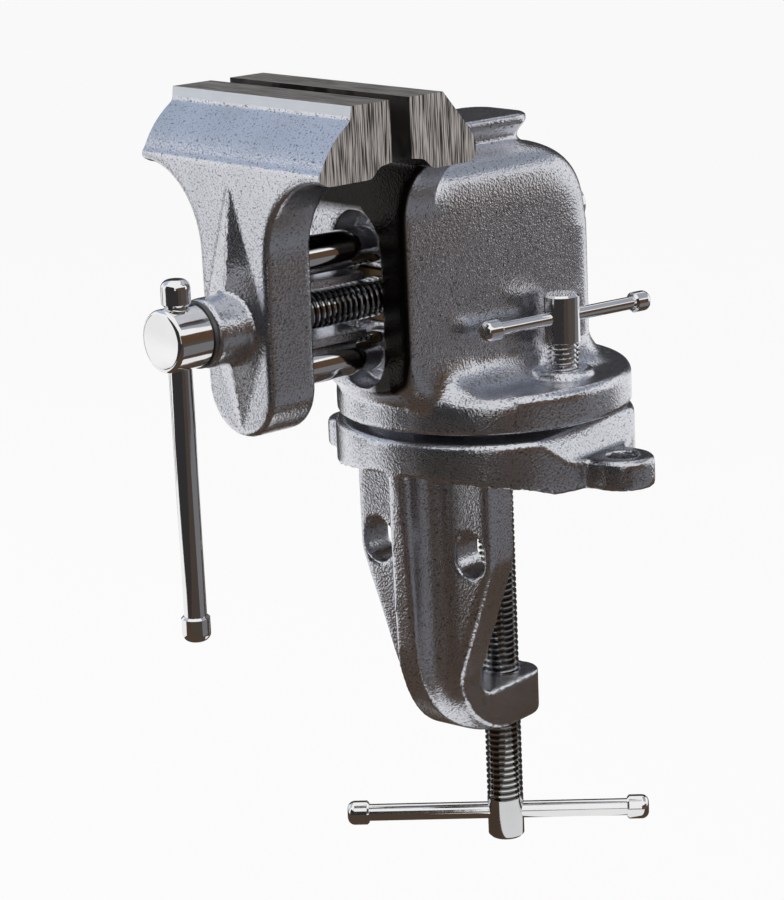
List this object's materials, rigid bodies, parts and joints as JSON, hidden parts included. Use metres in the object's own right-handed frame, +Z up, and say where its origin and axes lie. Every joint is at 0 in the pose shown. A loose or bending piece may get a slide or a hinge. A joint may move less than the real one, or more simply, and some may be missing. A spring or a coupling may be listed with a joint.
{
  "type": "bench vise",
  "caption": "Clamp-on bench vise: a sliding jaw on guide rods and a screw, on a swivel base with bolt lugs and a C-shaped bench clamp with its own screw.",
  "frame": {"origin": "where the swivel axis meets the bench seat, the flat underside of the base", "axes": "+Z up along the swivel axis, +X along the jaws to the right as seen from the spindle head, -Y towards the spindle head"},
  "size_m": [0.1142, 0.1601, 0.237],
  "materials": {
    "grey_paint": "grey hammertone paint on cast iron, ground bare on jaw tops, faces and ends",
    "chrome": "bright chrome plate",
    "zinc_plate": "bright zinc plate",
    "plain_steel": "plain turned steel",
    "bearing_bronze": "plain bronze"
  },
  "bodies": {
    "frame": {"clamp_frame": "grey_paint"},
    "swivel": {"swivel_body": "grey_paint", "pivot_bolt": "plain_steel", "pivot_washer": "plain_steel", "spindle_nut": "bearing_bronze", "nut_pin": "plain_steel", "lock_shoe": "bearing_bronze"},
    "jaw": {"moving_jaw": "grey_paint", "upper_guide_rod": "chrome", "lower_guide_rod": "chrome"},
    "spindle": {"spindle": "chrome", "spindle_washer": "plain_steel", "spindle_collar": "plain_steel", "collar_pin": "plain_steel"},
    "handle": {"handle_bar": "chrome", "handle_upper_cap": "chrome", "handle_lower_cap": "chrome"},
    "lock": {"lock_screw": "chrome"},
    "lock_bar": {"lock_bar": "chrome", "lock_bar_caps": "chrome"},
    "clamp_pad": {"clamp_pad": "zinc_plate"},
    "clamp_screw": {"clamp_screw": "zinc_plate"},
    "clamp_bar": {"clamp_bar": "chrome", "clamp_bar_caps": "chrome"}
  },
  "joints": [
    {"name": "swivel_turn", "type": "hinge", "parent": "frame", "child": "swivel", "pos_m": [0, 0, 0.0187], "axis": [0, 0, 1], "continuous": true},
    {"name": "jaw_slide", "type": "slide", "parent": "swivel", "child": "jaw", "axis": [0, 1, 0], "range_m": [-0.0508, 0.0066]},
    {"name": "spindle_turn", "type": "hinge", "parent": "jaw", "child": "spindle", "pos_m": [0, -0.1, 0.0568], "axis": [0, 1, 0], "range_deg": [-9140, 1185]},
    {"name": "handle_slide", "type": "slide", "parent": "spindle", "child": "handle", "axis": [0, 0, 1], "range_m": [0, 0.0685]},
    {"name": "lock_turn", "type": "hinge", "parent": "swivel", "child": "lock", "pos_m": [0.028, 0.0055, 0.0466], "axis": [0, 0, 1], "range_deg": [0, 20]},
    {"name": "lock_bar_slide", "type": "slide", "parent": "lock", "child": "lock_bar", "axis": [0.0872, 0.9962, 0], "range_m": [-0.0205, 0.0174]},
    {"name": "clamp_rise", "type": "slide", "parent": "frame", "child": "clamp_pad", "axis": [0, 0, 1], "range_m": [-0.055, 0.0007]},
    {"name": "clamp_turn", "type": "hinge", "parent": "clamp_pad", "child": "clamp_screw", "pos_m": [-0.00061, 0.00345, -0.072], "axis": [0, 0, 1], "range_deg": [-10890, 135]},
    {"name": "clamp_bar_slide", "type": "slide", "parent": "clamp_screw", "child": "clamp_bar", "axis": [0.6947, 0.7193, 0], "range_m": [-0.0313, 0.036]}
  ],
  "couplings": [
    {"joint": "jaw_slide", "follows": "spindle_turn", "m_per_rad": 0.00031831},
    {"joint": "clamp_rise", "follows": "clamp_turn", "m_per_rad": 0.00028871}
  ]
}
